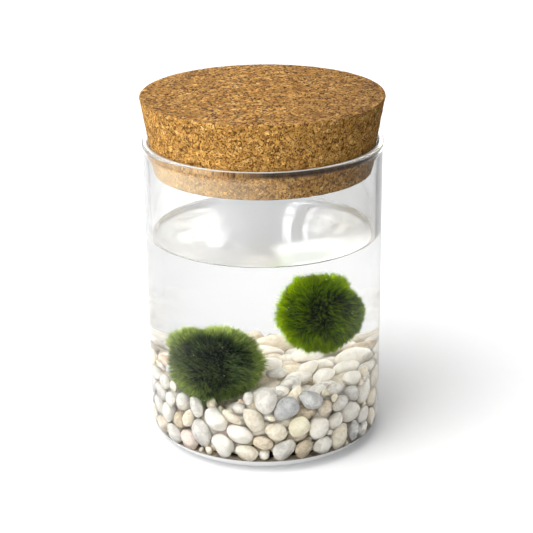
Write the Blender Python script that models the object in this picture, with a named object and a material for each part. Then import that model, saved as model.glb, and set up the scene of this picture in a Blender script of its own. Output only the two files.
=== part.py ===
"""Two moss balls in a corked glass jar of water, over a bed of smooth pebbles.

Sizes below are in millimetres; meshes are made in metres, +Z up. The origin is the
centre of the jar's foot, on the surface the jar stands on.
"""
import math

import bmesh
import bpy
import numpy as np
from mathutils import Matrix, Vector

MM = 0.001

# ---- driving dimensions (mm) ------------------------------------------------
JAR_R = 40.0            # outer radius of the wall
JAR_WALL = 2.0
JAR_H = 104.8           # foot to the top of the rim
JAR_FLOOR = 2.6         # glass under the pebbles
HEEL_OUT = 6.8          # rounding of the outer heel
HEEL_IN = 3.4           # rounding of the inner corner
BORE_R = JAR_R - JAR_WALL

CORK_TOP_R = 40.5
CORK_TOP_Z = 120.0
CORK_RIM_R = BORE_R - 0.3    # where it passes the rim, with the fitting gap
CORK_LOW_R = 36.2
CORK_LOW_Z = 94.7
CORK_EDGE = 0.6

WATER_Z = 73.0          # still surface of the water
GAP = 0.3               # between pieces that touch

REST_AT, REST_R = (-14.8, -16.0, 32.4), (15.2, 14.8, 14.4)      # moss ball on the pebbles
FLOAT_AT, FLOAT_R = (16.6, -15.8, 49.4), (14.4, 14.4, 14.7)     # moss ball afloat

PEBBLES = 430           # loose pebbles poured into the jar
PEBBLE_LONG = 4.15      # mean half length
BED_WALL = 37.75        # radius the pebbles can reach
BED_FLOOR = 2.85
BED_CORNER = 3.2
BED_LIMIT = 31.0        # no pebble stands higher than this
LOOSE = 40              # uppermost pebbles, each a piece of its own
POUR = [(0.20, 3, 200), (0.10, 3, 80), (0.04, 3, 60), (0.015, 3, 60), (0.004, 4, 40), (0.0, 4, 30)]

SEGS = 40               # facets round the jar

for ob in list(bpy.data.objects):
    bpy.data.objects.remove(ob, do_unlink=True)


# ---- the poured heap --------------------------------------------------------
def turn(v):
    """Rotation matrices for rotation vectors v, one a row."""
    t = np.sqrt((v * v).sum(1))
    k = v / np.maximum(t, 1e-12)[:, None]
    K = np.zeros((len(v), 3, 3))
    K[:, 0, 1], K[:, 0, 2], K[:, 1, 2] = -k[:, 2], k[:, 1], -k[:, 0]
    K -= K.transpose(0, 2, 1)
    return np.eye(3) + np.sin(t)[:, None, None] * K + (1 - np.cos(t))[:, None, None] * (K @ K)


def touch(x, S, i, j, n, rounds):
    """Contact normals, separations and contact points of pairs of ellipsoids."""
    d = x[j] - x[i]
    for k in range(rounds + 1):
        u = (S[i] @ n[:, :, None])[:, :, 0]
        p = u / np.sqrt((u * n).sum(1))[:, None]
        w = (S[j] @ n[:, :, None])[:, :, 0]
        q = w / np.sqrt((w * n).sum(1))[:, None]
        g = d - p - q
        s = (g * n).sum(1)
        if k == rounds:
            return n, s, p, q
        n = n + (g - s[:, None] * n) / np.maximum((n * d).sum(1), 1.0)[:, None]
        n = n / np.sqrt((n * n).sum(1))[:, None]


def neighbours(X, big, reach):
    D = X[:, None] - X[None]
    near = np.sqrt((D ** 2).sum(-1)) < big[:, None] + big[None] + reach
    i, j = np.nonzero(np.triu(near, 1))
    D = X[j] - X[i]
    return i, j, D / np.sqrt((D * D).sum(1))[:, None]


def pour(count, seed):
    """Ellipsoidal pebbles sunk layer on layer into the jar, round the resting ball.

    Each step lowers them all a little and pushes touching ones apart at their contact
    points. Places are rounded at every step, so the heap is the same on any computer.
    """
    rng = np.random.default_rng(seed)
    a = rng.normal(PEBBLE_LONG, 0.62, count).clip(2.8, 5.6)
    ax = np.stack([a, a * rng.uniform(0.70, 0.92, count), a * rng.uniform(0.50, 0.74, count)], 1)
    layer, k = np.arange(count) // 60, np.arange(count) % 60
    rad, ang = (BED_WALL - 5.5) * np.sqrt((k + 0.5) / 60), k * 2.399963 + layer * 1.3
    x = np.stack([rad * np.cos(ang), rad * np.sin(ang), BED_FLOOR + 4 + layer * 6.0], 1)
    x = x + rng.uniform(-0.8, 0.8, (count, 3))
    R = turn(rng.normal(size=(count, 3)) * [0.35, 0.35, 2.5])
    X = np.round(np.vstack([x, REST_AT]), 4)
    R = np.round(np.concatenate([R, np.eye(3)[None]]), 7)
    ax2 = np.vstack([ax ** 2, np.square(REST_R)])
    inv = np.append(np.ones(count), 0.0)
    rr = np.append(0.4 * ax.mean(1) ** 2, 1e9)
    big = np.sqrt(ax2.max(1))
    m = count + 1
    lean = [(0, 0), (-0.22, 0), (0.22, 0), (-0.11, 0), (0.11, 0),
            (0, math.radians(35)), (0, math.radians(62)), (0, math.pi / 2)]
    for drop, rounds, steps in POUR:
        for step in range(steps):
            X[:count, 2] -= drop
            if step % 6 == 0:
                I0, J0, N0 = neighbours(X, big, 0.6)
            for _ in range(rounds):
                S = (R * ax2[:, None, :]) @ R.transpose(0, 2, 1)
                N0, s, p, q = touch(X, S, I0, J0, N0, 3)
                hit = s < 0
                I, J, N, s = I0[hit], J0[hit], N0[hit], s[hit]
                at = 0.5 * (X[I] + p[hit] + X[J] - q[hit])
                ci, cj = np.cross(at - X[I], N), np.cross(at - X[J], N)
                lam = -s / (inv[I] * (1 + (ci ** 2).sum(1) / rr[I]) + inv[J] * (1 + (cj ** 2).sum(1) / rr[J]))
                dx, dt = np.zeros((m, 3)), np.zeros((m, 3))
                cnt = np.bincount(I, minlength=m) + np.bincount(J, minlength=m)
                for c in range(3):
                    dx[:, c] = np.bincount(J, lam * N[:, c], m) - np.bincount(I, lam * N[:, c], m)
                    dt[:, c] = np.bincount(J, lam * cj[:, c], m) - np.bincount(I, lam * ci[:, c], m)
                phi = np.arctan2(X[:, 1], X[:, 0])
                for da, be in lean:
                    cb, sb = math.cos(be), math.sin(be)
                    N = np.stack([np.cos(phi + da) * cb, np.sin(phi + da) * cb, np.full(m, -sb)], 1)
                    if be == 0:
                        off = BED_WALL
                    elif be > 1.5:
                        off = -BED_FLOOR
                    else:
                        off = (BED_WALL - BED_CORNER) * cb - (BED_FLOOR + BED_CORNER) * sb + BED_CORNER
                    u = (S @ N[:, :, None])[:, :, 0]
                    h = np.sqrt((u * N).sum(1))
                    s = off - (X * N).sum(1) - h
                    cc = np.cross(u / h[:, None], N)
                    lam = np.where((s < 0) & (inv > 0), -s / (1 + (cc ** 2).sum(1) / rr), 0)
                    dx -= lam[:, None] * N
                    dt -= lam[:, None] * cc
                    cnt = cnt + (lam > 0)
                f = (inv / np.maximum(1, cnt * 0.3))[:, None]
                X = np.round(X + dx * f, 4)
                t = dt * f / rr[:, None]
                t *= np.minimum(1, 0.15 / np.maximum(np.sqrt((t * t).sum(1)), 1e-9))[:, None]
                R = np.round(turn(t) @ R, 7)
    # what still overlaps by a hair is ground down
    for _ in range(4):
        ax2 = np.vstack([ax ** 2, np.square(REST_R)])
        S = (R * ax2[:, None, :]) @ R.transpose(0, 2, 1)
        I, J, N = neighbours(X, np.sqrt(ax2.max(1)), 0.1)
        N, s, p, q = touch(X, S, I, J, N, 12)
        need = np.zeros(m)
        over = np.maximum(0, -s)
        np.maximum.at(need, I, over * np.where(J == count, 1.0, 0.5))
        np.maximum.at(need, J, over * 0.5)
        ax = np.round(ax - np.minimum(need[:-1], 0.8)[:, None] * 1.02, 5)
    x, R = X[:count], R[:count]
    top = x[:, 2] + reach_up(R, ax)
    # no pebbles heaped up in front of the resting ball
    dip = (np.abs(x[:, 0] + 12) < 10) & (x[:, 1] < -28) & (top > 24)
    keep = (top < BED_LIMIT) & (x[:, 2] < REST_AT[2]) & ~dip
    return x[keep], R[keep], ax[keep], top[keep]


def reach_up(R, ax):
    """How far each ellipsoid stands above its centre."""
    return np.sqrt(((R[:, 2, :] * ax) ** 2).sum(1))


# ---- meshes -----------------------------------------------------------------
def material(name, colour, roughness, metallic=0.0, transmission=0.0, ior=1.45, alpha=1.0):
    mat = bpy.data.materials.new(name)
    mat.use_nodes = True
    b = mat.node_tree.nodes["Principled BSDF"]
    b.inputs["Base Color"].default_value = (*colour, 1.0)
    b.inputs["Roughness"].default_value = roughness
    b.inputs["Metallic"].default_value = metallic
    b.inputs["Transmission Weight"].default_value = transmission
    b.inputs["IOR"].default_value = ior
    b.inputs["Alpha"].default_value = alpha
    mat.diffuse_color = (*colour, alpha)
    return mat


def add(name, bm, mat, smooth=40, orient=True):
    if orient:
        bmesh.ops.recalc_face_normals(bm, faces=bm.faces)
    mesh = bpy.data.meshes.new(name)
    bm.to_mesh(mesh)
    bm.free()
    ob = bpy.data.objects.new(name, mesh)
    bpy.context.scene.collection.objects.link(ob)
    if mat:
        mesh.materials.append(mat)
        mesh.shade_smooth()
        mesh.set_sharp_from_angle(angle=math.radians(smooth))
    return ob


def arc(cx, cz, r, a0, a1, n):
    """Points of an arc in the (radius, height) plane, angles in degrees."""
    return [(cx + r * math.cos(math.radians(a0 + (a1 - a0) * k / n)),
             cz + r * math.sin(math.radians(a0 + (a1 - a0) * k / n))) for k in range(n + 1)]


def turned(name, profile, mat, segs=SEGS):
    """A solid of revolution: the profile starts and ends on the axis."""
    bm = bmesh.new()
    vs = [bm.verts.new((r * MM, 0, z * MM)) for r, z in profile]
    es = [bm.edges.new(p) for p in zip(vs, vs[1:])]
    bmesh.ops.spin(bm, geom=vs + es, cent=(0, 0, 0), axis=(0, 0, 1), dvec=(0, 0, 0),
                   angle=2 * math.pi, steps=segs, use_merge=True)
    bmesh.ops.remove_doubles(bm, verts=bm.verts, dist=1e-6)
    return add(name, bm, mat)


def polar(rings, segs, height):
    """Vertices of a round sheet: centre first, then ring by ring, height(x, y) above z = 0."""
    pts = [(0.0, 0.0)]
    for r in rings:
        pts += [(r * math.cos(2 * math.pi * k / segs), r * math.sin(2 * math.pi * k / segs)) for k in range(segs)]
    return [(px, py, height(px, py)) for px, py in pts]


def sheet_solid(name, rings, segs, height, rim_points, mat):
    """A round sheet closed by the turned wall and flat end that rim_points describe, (r, z) pairs."""
    bm = bmesh.new()
    vs = [bm.verts.new(Vector(p) * MM) for p in polar(rings, segs, height)]
    for k in range(segs):
        bm.faces.new((vs[0], vs[1 + k], vs[1 + (k + 1) % segs]))
    for g in range(len(rings) - 1):
        a, b = 1 + g * segs, 1 + (g + 1) * segs
        for k in range(segs):
            k2 = (k + 1) % segs
            bm.faces.new((vs[a + k], vs[b + k], vs[b + k2], vs[a + k2]))
    last = vs[-segs:]
    for r, z in rim_points:
        ring = [bm.verts.new((r * MM * math.cos(2 * math.pi * k / segs), r * MM * math.sin(2 * math.pi * k / segs), z * MM))
                for k in range(segs)]
        for k in range(segs):
            k2 = (k + 1) % segs
            bm.faces.new((last[k], ring[k], ring[k2], last[k2]))
        last = ring
    bm.faces.new(last)
    bmesh.ops.triangulate(bm, faces=bm.faces)
    return add(name, bm, mat, smooth=50)


def pebble_shape(points, ax, R, seed):
    """Unit-sphere points as one worn pebble, never outside the ellipsoid of half-axes ax."""
    rng = np.random.default_rng(seed)
    d = points / np.sqrt((points ** 2).sum(1))[:, None]
    f = np.ones(len(d))
    for k in range(4):
        way = rng.normal(size=3)
        way /= math.sqrt((way ** 2).sum())
        f -= 0.035 * (0.5 + 0.5 * np.sin(rng.uniform(1.2, 3.2) * (d @ way) * 1.6 + rng.uniform(0, 6.3)))
    return (d * f[:, None] * ax) @ R.T


def ellipsoid(name, at, ax, mat, R=None, seed=None, fine=3):
    bm = bmesh.new()
    bmesh.ops.create_icosphere(bm, subdivisions=fine, radius=1.0)
    pts = np.array([v.co[:] for v in bm.verts])
    if R is None:
        R = np.eye(3)
    out = pebble_shape(pts, ax, R, seed) if seed is not None else (pts * ax) @ R.T
    for v, p in zip(bm.verts, out):
        v.co = (Vector(p) + Vector(at)) * MM
    return add(name, bm, mat, smooth=180, orient=False)


def cut(ob, cutter):
    cutter.hide_render = True
    cutter.display_type = "WIRE"
    mod = ob.modifiers.new("cut_" + cutter.name, "BOOLEAN")
    mod.operation = "DIFFERENCE"
    mod.object = cutter
    mod.solver = "EXACT"


# ---- materials --------------------------------------------------------------
glass = material("clear_glass", (0.96, 0.98, 0.97), 0.02, transmission=1.0, ior=1.5, alpha=0.3)
cork = material("pressed_cork", (0.56, 0.37, 0.19), 0.85)
still_water = material("still_water", (0.95, 0.98, 0.98), 0.0, transmission=1.0, ior=1.333, alpha=0.3)
moss_dark = material("moss_dark", (0.05, 0.12, 0.04), 0.9)
moss_light = material("moss_light", (0.11, 0.22, 0.03), 0.9)
stones = [material("pebble_white", (0.78, 0.75, 0.69), 0.45),
          material("pebble_cream", (0.72, 0.64, 0.52), 0.45),
          material("pebble_grey", (0.52, 0.52, 0.50), 0.45)]

# ---- glass jar --------------------------------------------------------------
profile = [(0, 0)]
profile += arc(JAR_R - HEEL_OUT, HEEL_OUT, HEEL_OUT, -90, 0, 4)
profile += [(JAR_R, JAR_H - 1.0)]
profile += arc(JAR_R - 1.0, JAR_H - 1.0, 1.0, 45, 135, 2)
profile += [(BORE_R, JAR_H - 1.0), (BORE_R, WATER_Z)]
profile += arc(BORE_R - HEEL_IN, JAR_FLOOR + HEEL_IN, HEEL_IN, 0, -90, 3)
profile += [(0, JAR_FLOOR)]
turned("glass_jar", profile, glass)

# ---- cork stopper -----------------------------------------------------------
slope = (CORK_TOP_R - CORK_RIM_R) / (CORK_TOP_Z - JAR_H)
turned("cork_stopper", [
    (0, CORK_LOW_Z), (CORK_LOW_R - CORK_EDGE, CORK_LOW_Z), (CORK_LOW_R, CORK_LOW_Z + CORK_EDGE),
    (CORK_RIM_R - 0.2, JAR_H - 1.2), (CORK_RIM_R, JAR_H),
    (CORK_TOP_R - slope * CORK_EDGE, CORK_TOP_Z - CORK_EDGE), (CORK_TOP_R - CORK_EDGE, CORK_TOP_Z),
    (0, CORK_TOP_Z)], cork, 44)

# ---- moss balls -------------------------------------------------------------
ellipsoid("moss_ball_resting", REST_AT, REST_R, moss_dark)
ellipsoid("moss_ball_floating", FLOAT_AT, FLOAT_R, moss_light)

# ---- pebbles ----------------------------------------------------------------
px, pR, pax, ptop = pour(PEBBLES, 5)
order = np.argsort(-np.round(px[:, 2], 3), kind="stable")
loose, rest = order[:LOOSE], order[LOOSE:]
for k, i in enumerate(loose):
    ellipsoid("pebble_%02d" % (k + 1), px[i], pax[i] - GAP / 2, stones[k % 3], pR[i], 1000 + int(i), fine=2)


def bed_height(x, y):
    """The heap without the loose pebbles: over the tips of the rest, under the loose ones' shoulders."""
    d = np.hypot(px[rest, 0] - x, px[rest, 1] - y)
    h = np.sort((ptop[rest] - 0.12 * np.maximum(0, d - 2.0) ** 2)[d < 9.0])[-3:].mean()
    d = np.hypot(px[loose, 0] - x, px[loose, 1] - y)
    under = (px[loose, 2] + 0.25 * pax[loose, 2])[d < pax[loose, 0] + 1.0]
    return min(h, under.min()) if len(under) else h


def water_foot(x, y):
    """A sheet just clear of every pebble's tip."""
    d = np.hypot(px[:, 0] - x, px[:, 1] - y)
    return ptop[d < 9.0].max() + GAP + 0.2


bed_r = BORE_R - GAP
bed = sheet_solid("pebble_bed", [6.5, 13, 19.5, 26, 32.0, bed_r], SEGS, bed_height,
                  [(bed_r, JAR_FLOOR + HEEL_IN), (bed_r - 1.1, JAR_FLOOR + GAP + 1.1),
                   (bed_r - HEEL_IN, JAR_FLOOR + GAP)], stones[0])
for k, i in enumerate(loose):
    cut(bed, ellipsoid("pebble_seat_%02d" % (k + 1), px[i], pax[i] + GAP / 2 + 0.1, None, pR[i], None, fine=2))
cut(bed, ellipsoid("ball_seat", REST_AT, np.array(REST_R) + GAP + 0.1, None))

# ---- water ------------------------------------------------------------------
water = sheet_solid("water", [7, 14, 21, 28, 33.5, bed_r], SEGS, water_foot, [(bed_r, WATER_Z)], still_water)
cut(water, ellipsoid("ball_room_resting", REST_AT, np.array(REST_R) + GAP + 0.1, None))
cut(water, ellipsoid("ball_room_floating", FLOAT_AT, np.array(FLOAT_R) + GAP + 0.1, None))
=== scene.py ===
"""Looks of two moss balls in a corked jar of water over pebbles. Sizes in millimetres unless said."""
import math

import bmesh
import bpy
import numpy as np
from mathutils import Matrix, Vector


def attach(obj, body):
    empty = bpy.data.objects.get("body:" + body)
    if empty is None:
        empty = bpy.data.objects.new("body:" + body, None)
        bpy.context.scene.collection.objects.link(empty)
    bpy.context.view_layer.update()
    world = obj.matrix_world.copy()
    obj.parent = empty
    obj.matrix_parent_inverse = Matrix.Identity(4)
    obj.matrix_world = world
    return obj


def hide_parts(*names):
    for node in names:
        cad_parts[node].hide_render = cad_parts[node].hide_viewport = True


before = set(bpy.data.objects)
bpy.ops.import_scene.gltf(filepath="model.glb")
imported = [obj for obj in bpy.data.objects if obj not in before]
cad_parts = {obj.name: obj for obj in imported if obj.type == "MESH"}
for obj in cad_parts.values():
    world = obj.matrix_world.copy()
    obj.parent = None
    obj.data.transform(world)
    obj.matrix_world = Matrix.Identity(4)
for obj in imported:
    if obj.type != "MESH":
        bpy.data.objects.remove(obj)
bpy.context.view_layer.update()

MM = 0.001
JAR_R, JAR_WALL, JAR_H, JAR_FLOOR = 40.0, 2.0, 104.8, 2.6
BORE_R = JAR_R - JAR_WALL
HEEL_OUT, HEEL_IN = 6.8, 3.4
CORK_TOP_R, CORK_TOP_Z, CORK_LOW_R, CORK_LOW_Z = 40.5, 120.0, 36.3, 94.7
WATER_Z = 73.0
REST_AT, REST_R = (-14.8, -16.0, 32.4), (15.2, 14.8, 14.4)
FLOAT_AT, FLOAT_R = (16.6, -15.8, 49.4), (14.4, 14.4, 14.7)
PEBBLES, PEBBLE_LONG = 430, 4.15
BED_WALL, BED_FLOOR, BED_CORNER, BED_LIMIT = 37.75, 2.85, 3.2, 31.0
LOOSE = 40
POUR = [(0.20, 3, 200), (0.10, 3, 80), (0.04, 3, 60), (0.015, 3, 60), (0.004, 4, 40), (0.0, 4, 30)]

scene = bpy.context.scene


# ---- helpers ----------------------------------------------------------------
def mesh_object(name, verts, quads=None, tris=None, mats=(), index=None, smooth=True):
    """An object from arrays: vertices in mm, quads first and then triangles."""
    faces, sizes = [], []
    if quads is not None and len(quads):
        faces.append(np.asarray(quads).ravel())
        sizes.append(np.full(len(quads), 4))
    if tris is not None and len(tris):
        faces.append(np.asarray(tris).ravel())
        sizes.append(np.full(len(tris), 3))
    loops, sizes = np.concatenate(faces).astype(np.int32), np.concatenate(sizes)
    me = bpy.data.meshes.new(name)
    me.vertices.add(len(verts))
    me.vertices.foreach_set("co", (np.asarray(verts) * MM).astype(np.float32).ravel())
    me.loops.add(len(loops))
    me.loops.foreach_set("vertex_index", loops)
    me.polygons.add(len(sizes))
    me.polygons.foreach_set("loop_start", (np.cumsum(sizes) - sizes).astype(np.int32))
    if index is not None:
        me.polygons.foreach_set("material_index", np.asarray(index, dtype=np.int32))
    me.polygons.foreach_set("use_smooth", np.full(len(sizes), smooth))
    me.update(calc_edges=True)
    me.validate()
    for m in mats:
        me.materials.append(m)
    ob = bpy.data.objects.new(name, me)
    scene.collection.objects.link(ob)
    return ob


def sharpen(ob, degrees):
    ob.data.set_sharp_from_angle(angle=math.radians(degrees))


def attribute(ob, name, values):
    at = ob.data.attributes.new(name, "FLOAT", "POINT")
    at.data.foreach_set("value", np.asarray(values, dtype=np.float32))


def lathe_arrays(profile, segs):
    """Closed solid of revolution; the profile starts and ends on the axis."""
    prof = np.array(profile)
    inner = prof[1:-1]
    n = len(inner)
    a = 2 * np.pi * np.arange(segs) / segs
    ring = np.stack([inner[:, None, 0] * np.cos(a), inner[:, None, 0] * np.sin(a),
                     np.repeat(inner[:, 1:2], segs, 1)], -1).reshape(-1, 3)
    verts = np.vstack([ring, [[0, 0, prof[0, 1]]], [[0, 0, prof[-1, 1]]]])
    k = np.arange(segs)
    k2 = (k + 1) % segs
    g = (np.arange(n - 1) * segs)[:, None]
    quads = np.stack([g + k, g + k2, g + segs + k2, g + segs + k], -1).reshape(-1, 4)
    lo, hi = n * segs, n * segs + 1
    last = (n - 1) * segs
    tris = np.vstack([np.stack([np.full(segs, lo), k2, k], 1), np.stack([np.full(segs, hi), last + k, last + k2], 1)])
    return verts, quads, tris


def arc(cx, cz, r, a0, a1, n):
    return [(cx + r * math.cos(math.radians(a0 + (a1 - a0) * k / n)),
             cz + r * math.sin(math.radians(a0 + (a1 - a0) * k / n))) for k in range(n + 1)]


def sphere(fine):
    bm = bmesh.new()
    bmesh.ops.create_icosphere(bm, subdivisions=fine, radius=1.0)
    v = np.array([p.co[:] for p in bm.verts])
    f = np.array([[p.index for p in q.verts] for q in bm.faces])
    bm.free()
    return v / np.sqrt((v ** 2).sum(1))[:, None], f


def hash3(c, salt):
    """Repeatable random numbers, 0 to 1, for whole-number cells."""
    h = (c[..., 0] * 73856093) ^ (c[..., 1] * 19349663) ^ (c[..., 2] * 83492791) ^ (salt * 2654435761)
    h = (h ^ (h >> 13)) * 1274126177 & 0x7FFFFFFF
    h = (h ^ (h >> 15)) * 668265263 & 0x7FFFFFFF
    return ((h ^ (h >> 12)) & 0xFFFFFF) / float(0x1000000)


def noise3(p, salt=0):
    """Smooth value noise, -1 to 1."""
    c = np.floor(p).astype(np.int64)
    f = p - c
    f = f * f * (3 - 2 * f)
    out = 0
    for dx in (0, 1):
        for dy in (0, 1):
            for dz in (0, 1):
                w = (f[:, 0] if dx else 1 - f[:, 0]) * (f[:, 1] if dy else 1 - f[:, 1]) * (f[:, 2] if dz else 1 - f[:, 2])
                out = out + w * hash3(c + np.array([dx, dy, dz]), salt)
    return out * 2 - 1


def cells3(p, salt=0):
    """Nearest and second distances to jittered grid points, and a random number for the nearest one."""
    c = np.floor(p).astype(np.int64)
    best, second, tag = np.full(len(p), 9.0), np.full(len(p), 9.0), np.zeros(len(p))
    for dx in (-1, 0, 1):
        for dy in (-1, 0, 1):
            for dz in (-1, 0, 1):
                g = c + np.array([dx, dy, dz])
                q = g + np.stack([hash3(g, salt + 1), hash3(g, salt + 2), hash3(g, salt + 3)], 1)
                d = np.sqrt(((p - q) ** 2).sum(1))
                nearer = d < best
                second = np.where(nearer, best, np.minimum(second, d))
                tag = np.where(nearer, hash3(g, salt + 4), tag)
                best = np.where(nearer, d, best)
    return best, second, tag


# ---- materials --------------------------------------------------------------
def new_material(name):
    m = bpy.data.materials.new(name)
    m.use_nodes = True
    return m, m.node_tree, m.node_tree.nodes["Principled BSDF"]


def node(nt, kind, **values):
    n = nt.nodes.new(kind)
    for k, v in values.items():
        if k in n.inputs.keys():
            n.inputs[k].default_value = v
        else:
            setattr(n, k, v)
    return n


def ramp(nt, stops, source, mode="LINEAR"):
    r = nt.nodes.new("ShaderNodeValToRGB")
    r.color_ramp.interpolation = mode
    els = r.color_ramp.elements
    while len(els) < len(stops):
        els.new(0.5)
    for e, (at, c) in zip(els, stops):
        e.position = at
        e.color = (*c, 1) if len(c) == 3 else c
    nt.links.new(source, r.inputs[0])
    return r.outputs[0]


def blend(nt, kind, factor, a, b):
    m = nt.nodes.new("ShaderNodeMix")
    m.data_type = "RGBA"
    m.blend_type = kind
    for socket, value in ((m.inputs[0], factor), (m.inputs[6], a), (m.inputs[7], b)):
        if isinstance(value, bpy.types.NodeSocket):
            nt.links.new(value, socket)
        elif isinstance(value, tuple):
            socket.default_value = (*value, 1)
        else:
            socket.default_value = value
    return m.outputs[2]


def maths(nt, kind, a, b=0.0, c=0.0):
    m = nt.nodes.new("ShaderNodeMath")
    m.operation = kind
    for socket, value in zip(m.inputs, (a, b, c)):
        if isinstance(value, bpy.types.NodeSocket):
            nt.links.new(value, socket)
        else:
            socket.default_value = value
    return m.outputs[0]


def texture(nt, kind, scale, coords, **values):
    t = node(nt, kind, Scale=scale, **values)
    nt.links.new(coords, t.inputs["Vector"])
    return t


def bump(nt, p, height, strength, distance):
    b = node(nt, "ShaderNodeBump", Strength=strength, Distance=distance)
    nt.links.new(height, b.inputs["Height"])
    nt.links.new(b.outputs[0], p.inputs["Normal"])
    return b


def stretched(nt, scale):
    co = nt.nodes.new("ShaderNodeTexCoord").outputs["Object"]
    m = node(nt, "ShaderNodeMapping")
    m.inputs["Scale"].default_value = scale
    nt.links.new(co, m.inputs[0])
    return m.outputs[0]


def clear_material(name, colour, ior, reflect, noise, strength, clear=1.0, rough=0.0, coat=0.0):
    """Clear glass or water. reflect scales the mirror part: next to none where glass meets water. clear below 1 makes
    part of it a pale diffuse colour, used as painted light.
    """
    m, nt, p = new_material(name)
    p.inputs["Base Color"].default_value = (*colour, 1)
    p.inputs["Roughness"].default_value = rough
    p.inputs["IOR"].default_value = ior
    p.inputs["Transmission Weight"].default_value = clear
    p.inputs["Specular Tint"].default_value = (reflect, reflect, reflect, 1)
    p.inputs["Coat Weight"].default_value = coat
    p.inputs["Coat Roughness"].default_value = 0.0
    p.inputs["Coat IOR"].default_value = ior
    if strength:
        n = texture(nt, "ShaderNodeTexNoise", noise, stretched(nt, (1, 1, 0.4)), Detail=1.0)
        bump(nt, p, n.outputs[0], strength, 0.0006)
    return m


def stone(name, base, second, speck, rough=0.45, veins=0.0):
    """Worn stone: clouded base, faint veins, fine specks; each pebble a little lighter or darker."""
    m, nt, p = new_material(name)
    co = stretched(nt, (1, 1, 1))
    geo = nt.nodes.new("ShaderNodeNewGeometry")
    cloud = texture(nt, "ShaderNodeTexNoise", 480.0, co, Detail=5.0, Roughness=0.62, Distortion=0.9)
    col = blend(nt, "MIX", ramp(nt, [(0.42, (0, 0, 0)), (0.60, (1, 1, 1))], cloud.outputs[0]), base, second)
    grain = texture(nt, "ShaderNodeTexNoise", 1500.0, co, Detail=3.0, Roughness=0.7)
    col = blend(nt, "MIX", ramp(nt, [(0.60, (0, 0, 0)), (0.72, (0.55, 0.55, 0.55))], grain.outputs[0]), col, speck)
    if veins:
        vein = texture(nt, "ShaderNodeTexNoise", 160.0, co, Detail=3.0, Distortion=1.6)
        line = ramp(nt, [(0.475, (0, 0, 0)), (0.5, (veins,) * 3), (0.525, (0, 0, 0))], vein.outputs[0])
        col = blend(nt, "MIX", line, col, speck)
    shade = ramp(nt, [(0.0, (0.86, 0.86, 0.86)), (0.5, (0.98, 0.975, 0.97)), (1.0, (1.08, 1.07, 1.05))], geo.outputs["Random Per Island"])
    col = blend(nt, "MULTIPLY", 1.0, col, shade)
    nt.links.new(col, p.inputs["Base Color"])
    rgh = ramp(nt, [(0.3, (rough - 0.08,) * 3), (0.7, (rough + 0.14,) * 3)], grain.outputs[0])
    nt.links.new(rgh, p.inputs["Roughness"])
    p.inputs["Specular IOR Level"].default_value = 0.2
    both = maths(nt, "MULTIPLY_ADD", cloud.outputs[0], 2.0, grain.outputs[0])
    bump(nt, p, both, 0.35, 0.00012)
    return m


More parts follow.
